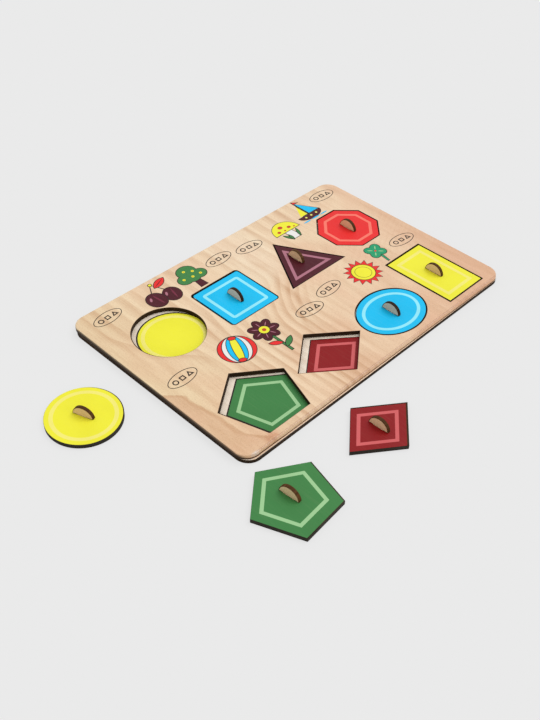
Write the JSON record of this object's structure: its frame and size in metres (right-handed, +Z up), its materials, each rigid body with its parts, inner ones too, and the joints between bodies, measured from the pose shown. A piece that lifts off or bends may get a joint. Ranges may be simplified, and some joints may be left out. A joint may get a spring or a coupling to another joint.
{
  "type": "shape sorting puzzle",
  "caption": "Flat wooden tray with shaped cut-outs and matching lift-out shape pieces, each with a finger tab, for a child to sort and fit.",
  "frame": {"origin": "on the tray's flat underside, below the centre of the top board", "axes": "+X along the tray's long side, +Y towards its back edge, +Z up out of the tray"},
  "size_m": [0.379, 0.27, 0.0152],
  "materials": {
    "board_wood": "clear satin lacquer over birch plywood, edges charred dark by the cutting",
    "tab_wood": "bare birch plywood with a charred curved edge",
    "yellow_print": "yellow print under satin lacquer on plywood, charred edge",
    "blue_print": "light blue print under satin lacquer on plywood, charred edge",
    "maroon_print": "maroon print under satin lacquer on plywood, charred edge",
    "red_print": "red print under satin lacquer on plywood, charred edge",
    "green_print": "green print under satin lacquer on plywood, charred edge",
    "dark_red_print": "dark red print under satin lacquer on plywood, charred edge"
  },
  "bodies": {
    "tray": {"base_board": "board_wood", "top_board": "board_wood"},
    "circle_piece": {"circle_plate": "yellow_print", "circle_tab": "tab_wood"},
    "square_piece": {"square_plate": "blue_print", "square_tab": "tab_wood"},
    "triangle_piece": {"triangle_plate": "maroon_print", "triangle_tab": "tab_wood"},
    "octagon_piece": {"octagon_plate": "red_print", "octagon_tab": "tab_wood"},
    "pentagon_piece": {"pentagon_plate": "green_print", "pentagon_tab": "tab_wood"},
    "diamond_piece": {"diamond_plate": "dark_red_print", "diamond_tab": "tab_wood"},
    "oval_piece": {"oval_plate": "blue_print", "oval_tab": "tab_wood"},
    "rectangle_piece": {"rectangle_plate": "yellow_print", "rectangle_tab": "tab_wood"}
  },
  "joints": [
    {"name": "lift_circle", "type": "slide", "parent": "tray", "child": "circle_piece", "axis": [0, 0, 1], "range_m": [0, 0.04]},
    {"name": "lift_square", "type": "slide", "parent": "tray", "child": "square_piece", "axis": [0, 0, 1], "range_m": [0, 0.04]},
    {"name": "lift_triangle", "type": "slide", "parent": "tray", "child": "triangle_piece", "axis": [0, 0, 1], "range_m": [0, 0.04]},
    {"name": "lift_octagon", "type": "slide", "parent": "tray", "child": "octagon_piece", "axis": [0, 0, 1], "range_m": [0, 0.04]},
    {"name": "lift_pentagon", "type": "slide", "parent": "tray", "child": "pentagon_piece", "axis": [0, 0, 1], "range_m": [0, 0.04]},
    {"name": "lift_diamond", "type": "slide", "parent": "tray", "child": "diamond_piece", "axis": [0, 0, 1], "range_m": [0, 0.04]},
    {"name": "lift_oval", "type": "slide", "parent": "tray", "child": "oval_piece", "axis": [0, 0, 1], "range_m": [0, 0.04]},
    {"name": "lift_rectangle", "type": "slide", "parent": "tray", "child": "rectangle_piece", "axis": [0, 0, 1], "range_m": [0, 0.04]}
  ]
}
